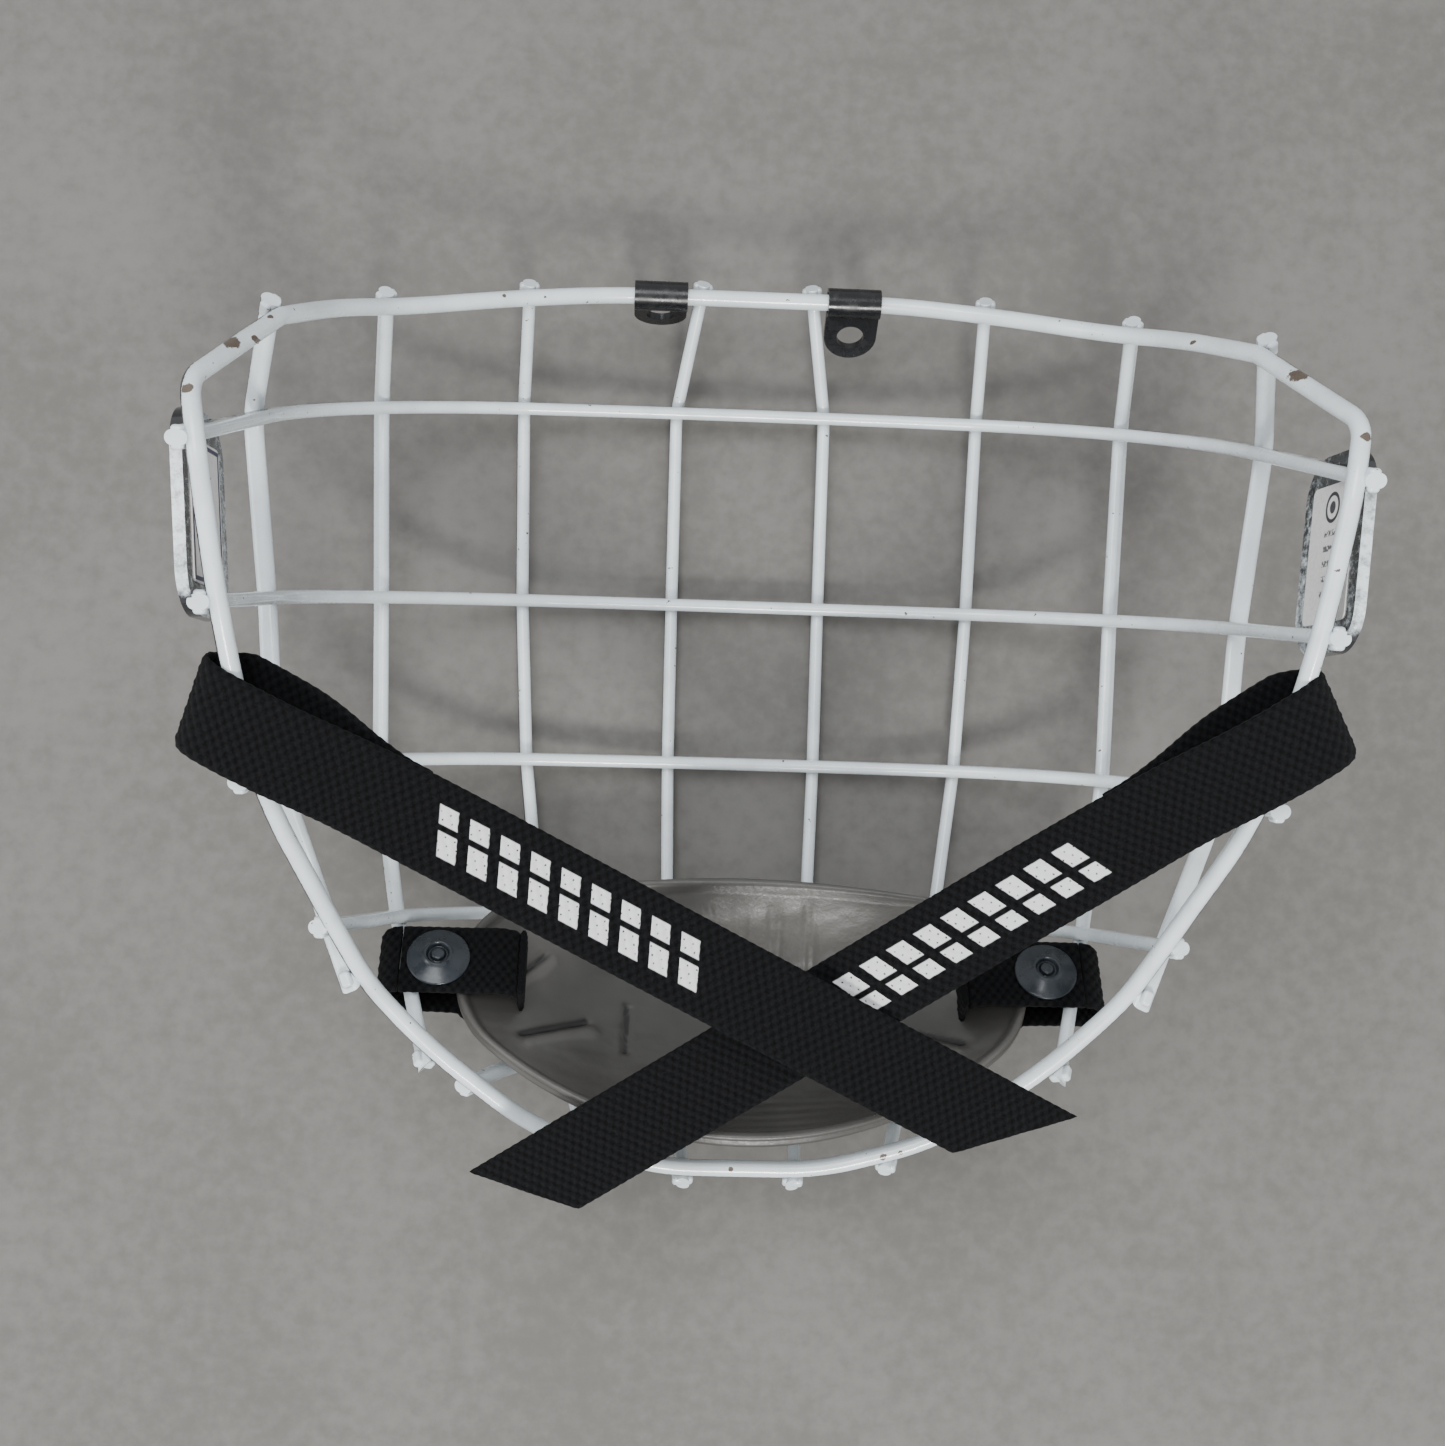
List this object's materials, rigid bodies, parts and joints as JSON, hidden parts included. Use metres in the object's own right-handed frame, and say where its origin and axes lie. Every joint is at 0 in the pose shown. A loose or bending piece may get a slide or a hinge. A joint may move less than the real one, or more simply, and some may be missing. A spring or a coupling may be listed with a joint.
{
  "type": "hockey helmet cage",
  "caption": "Welded wire face cage for a hockey helmet, with brow clips, crossed webbing straps and a soft chin cup on snap tabs.",
  "frame": {"origin": "middle of the footprint, on the surface that the cage's front lies on", "axes": "+X across the face, +Y from chin to brow, +Z from the front of the cage back to the helmet"},
  "size_m": [0.2338, 0.2142, 0.1237],
  "materials": {
    "cage_paint": "gloss enamel, light inside and black outside",
    "dark_plate": "gloss black enamel",
    "label_film": null,
    "black_coating": "vinyl coating on steel strip",
    "strap_webbing": "coarse woven webbing",
    "tab_webbing": "woven webbing",
    "snap_plastic": "slightly translucent plastic",
    "cup_skin": "satin moulded skin"
  },
  "bodies": {
    "cage": {"rim": "cage_paint", "bar_1": "cage_paint", "bar_2": "cage_paint", "bar_3": "cage_paint", "bar_4": "cage_paint", "bar_5": "cage_paint", "upright_inner_left": "cage_paint", "upright_middle_left": "cage_paint", "upright_outer_left": "cage_paint", "upright_side_left": "cage_paint", "upright_inner_right": "cage_paint", "upright_middle_right": "cage_paint", "upright_outer_right": "cage_paint", "upright_side_right": "cage_paint", "side_plate_left": "dark_plate", "side_plate_right": "dark_plate", "label_left": "label_film", "label_right": "label_film"},
    "clip_left": {"brow_clip_left": "black_coating"},
    "strap_left_body": {"strap_left": "strap_webbing"},
    "clip_right": {"brow_clip_right": "black_coating"},
    "strap_right_body": {"strap_right": "strap_webbing"},
    "cup": {"chin_cup": "cup_skin", "tab_back_left": "tab_webbing", "snap_stud_left": "snap_plastic", "snap_rivet_left": "snap_plastic", "tab_back_right": "tab_webbing", "snap_stud_right": "snap_plastic", "snap_rivet_right": "snap_plastic"},
    "flap_left": {"tab_flap_left": "tab_webbing", "snap_cap_left": "snap_plastic", "snap_socket_left": "snap_plastic"},
    "flap_right": {"tab_flap_right": "tab_webbing", "snap_cap_right": "snap_plastic", "snap_socket_right": "snap_plastic"}
  },
  "joints": [
    {"name": "clip_left_swivel", "type": "hinge", "parent": "cage", "child": "clip_left", "pos_m": [-0.0232, 0.10223, 0.02424], "axis": [-1, 0, 0], "range_deg": [-18, 152]},
    {"name": "clip_right_swivel", "type": "hinge", "parent": "cage", "child": "clip_right", "pos_m": [0.0232, 0.10223, 0.02424], "axis": [-1, 0, 0], "range_deg": [-47, 123]},
    {"name": "strap_left_swing", "type": "hinge", "parent": "cage", "child": "strap_left_body", "pos_m": [-0.10374, -0.00655, 0.10135], "axis": [0.1413, -0.876, -0.4611], "range_deg": [0, 32]},
    {"name": "strap_right_swing", "type": "hinge", "parent": "cage", "child": "strap_right_body", "pos_m": [0.10425, -0.00335, 0.10304], "axis": [0.1413, 0.876, 0.4611], "range_deg": [0, 25.6]},
    {"name": "cup_rock", "type": "hinge", "parent": "cage", "child": "cup", "pos_m": [0, -0.05857, 0.03724], "axis": [-1, 0, 0], "range_deg": [-3, 5]},
    {"name": "flap_left_open", "type": "hinge", "parent": "cup", "child": "flap_left", "pos_m": [-0.07789, -0.0557, 0.04133], "axis": [0, -0.8192, 0.5736], "range_deg": [0, 90]},
    {"name": "flap_right_open", "type": "hinge", "parent": "cup", "child": "flap_right", "pos_m": [0.07789, -0.0557, 0.04133], "axis": [0, 0.8192, -0.5736], "range_deg": [0, 90]}
  ],
  "couplings": [
    {"joint": "strap_right_swing", "follows": "strap_left_swing", "ratio": 0.8}
  ]
}
